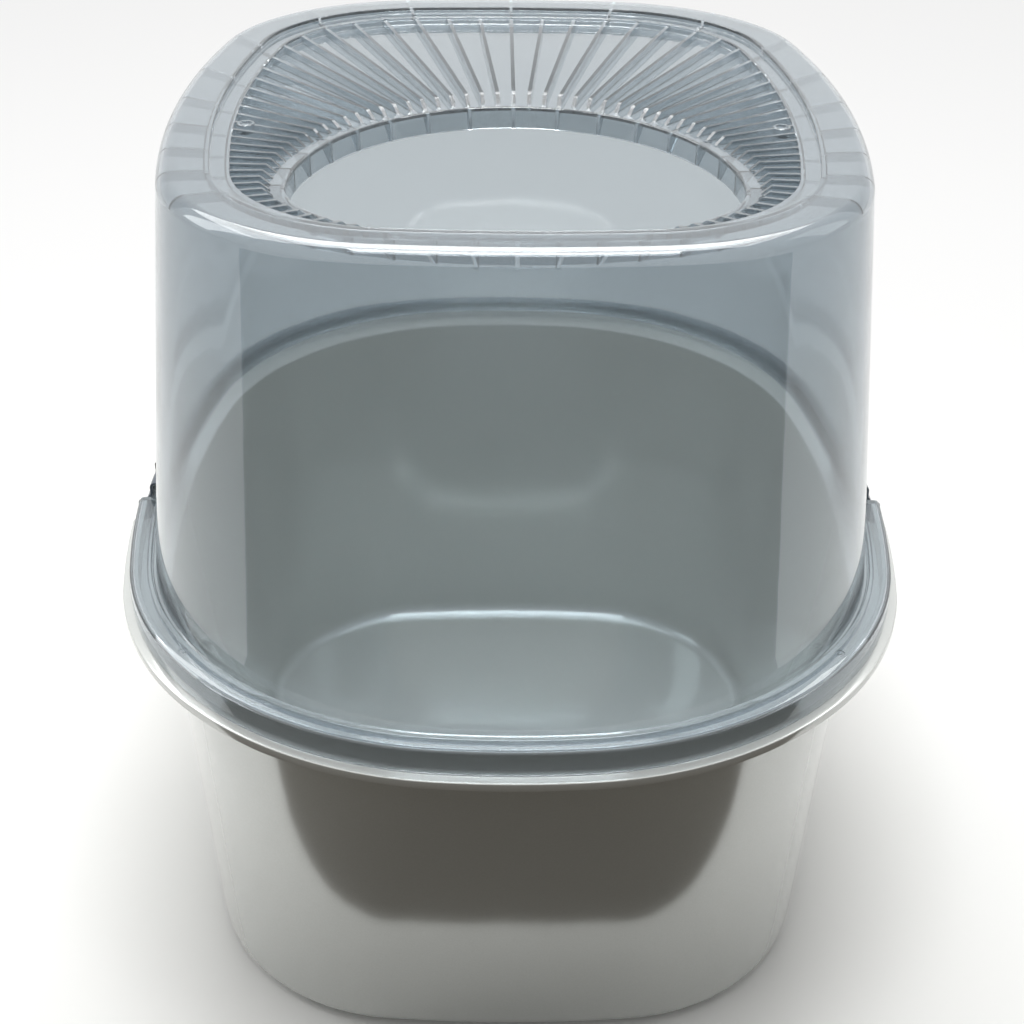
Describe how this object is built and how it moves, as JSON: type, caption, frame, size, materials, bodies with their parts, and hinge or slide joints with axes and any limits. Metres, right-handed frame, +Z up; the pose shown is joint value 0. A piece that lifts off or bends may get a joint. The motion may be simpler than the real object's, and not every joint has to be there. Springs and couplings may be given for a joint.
{
  "type": "top entry litter box",
  "caption": "Deep oval litter pan with a clear lift-off hood, an entry hole in the hood's ribbed top and hinged side clips that hold hood and pan together.",
  "frame": {"origin": "centre of the pan's base, on the surface that it stands on", "axes": "+Z up, front of the box (the end nearer the entry hole) towards -Y, +X to the right as seen from the front"},
  "size_m": [0.4166, 0.5078, 0.4484],
  "materials": {
    "pan_plastic": "glossy opaque silver grey moulded plastic",
    "hood_plastic": "glossy clear plastic with a smoky blue grey tint",
    "clip_plastic": "dark blue grey moulded plastic"
  },
  "bodies": {
    "pan": {"litter_pan": "pan_plastic"},
    "hood": {"hood": "hood_plastic"},
    "clip_left": {"clip_left": "clip_plastic"},
    "clip_right": {"clip_right": "clip_plastic"}
  },
  "joints": [
    {"name": "hood_lift", "type": "slide", "parent": "pan", "child": "hood", "axis": [0, 0, 1], "range_m": [0, 0.15]},
    {"name": "clip_left_hinge", "type": "hinge", "parent": "hood", "child": "clip_left", "pos_m": [-0.1944, 0, 0.239], "axis": [0, 1, 0], "range_deg": [0, 110]},
    {"name": "clip_right_hinge", "type": "hinge", "parent": "hood", "child": "clip_right", "pos_m": [0.1944, 0, 0.239], "axis": [0, -1, 0], "range_deg": [0, 110]}
  ]
}
